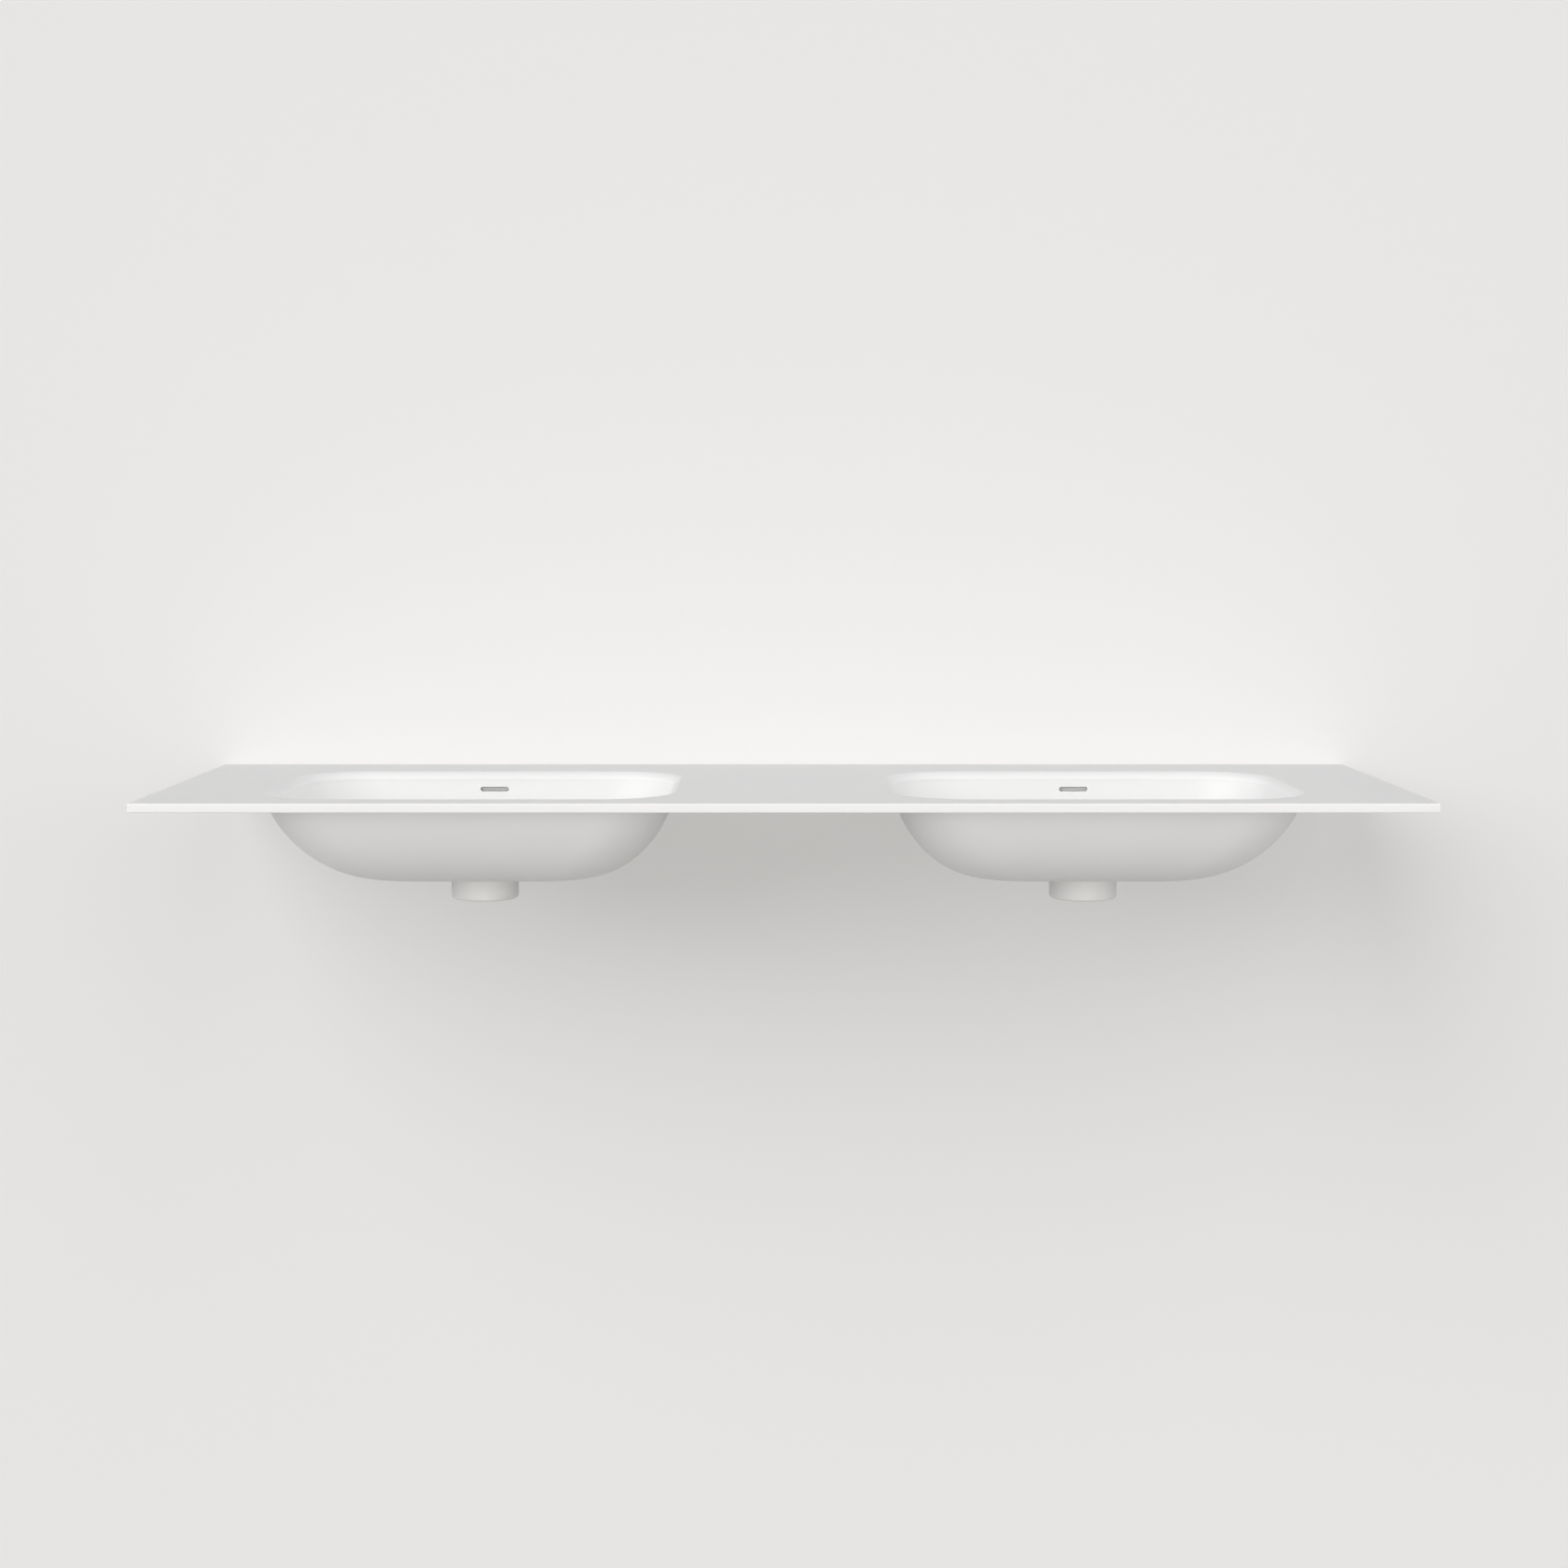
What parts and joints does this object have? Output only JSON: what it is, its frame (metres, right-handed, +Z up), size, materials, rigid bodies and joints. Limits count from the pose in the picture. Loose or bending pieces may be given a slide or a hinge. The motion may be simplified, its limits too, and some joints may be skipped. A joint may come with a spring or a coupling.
{
  "type": "double sink vanity top",
  "caption": "Thin white bathroom vanity top with rounded basins bonded under rolled cut-outs, push-to-close stoppers, overflow ducts and short drain housings.",
  "frame": {"origin": "middle of the slab's underside, where it sits on a cabinet", "axes": "+X to the right along the slab, +Y from the front edge to the wall, +Z up"},
  "size_m": [1.4, 0.46, 0.1375],
  "materials": {
    "deck_sheet": "satin",
    "bowl_shell": "gloss",
    "joint_adhesive": "satin",
    "white_moulding": "satin",
    "cover_moulding": "satin",
    "grey_moulding": "matte",
    "seal_rubber": "matte",
    "polished_metal": "polished",
    "turned_brass": "satin",
    "screw_steel": "satin"
  },
  "bodies": {
    "vanity_top": {"deck_slab": "deck_sheet", "left_bowl": "bowl_shell", "left_bowl_adhesive": "joint_adhesive", "left_drain_housing": "white_moulding", "left_housing_seal": "seal_rubber", "left_waste_flange": "polished_metal", "left_flange_seal": "seal_rubber", "left_plug_guide": "grey_moulding", "left_latch_cartridge": "turned_brass", "left_overflow_cover": "cover_moulding", "left_overflow_duct": "white_moulding", "left_overflow_gasket": "seal_rubber", "left_overflow_screws": "screw_steel", "right_bowl": "bowl_shell", "right_bowl_adhesive": "joint_adhesive", "right_drain_housing": "white_moulding", "right_housing_seal": "seal_rubber", "right_waste_flange": "polished_metal", "right_flange_seal": "seal_rubber", "right_plug_guide": "grey_moulding", "right_latch_cartridge": "turned_brass", "right_overflow_cover": "cover_moulding", "right_overflow_duct": "white_moulding", "right_overflow_gasket": "seal_rubber", "right_overflow_screws": "screw_steel"},
    "left_plug": {"left_plug_cap": "polished_metal", "left_plug_stem": "turned_brass", "left_plug_seal": "seal_rubber"},
    "right_plug": {"right_plug_cap": "polished_metal", "right_plug_stem": "turned_brass", "right_plug_seal": "seal_rubber"}
  },
  "joints": [
    {"name": "left_plug_slide", "type": "slide", "parent": "vanity_top", "child": "left_plug", "axis": [0, 0, 1], "range_m": [-0.008, 0], "stiffness_N_per_m": 500, "springref_m": 0.012},
    {"name": "right_plug_slide", "type": "slide", "parent": "vanity_top", "child": "right_plug", "axis": [0, 0, 1], "range_m": [-0.008, 0], "stiffness_N_per_m": 500, "springref_m": 0.012}
  ]
}
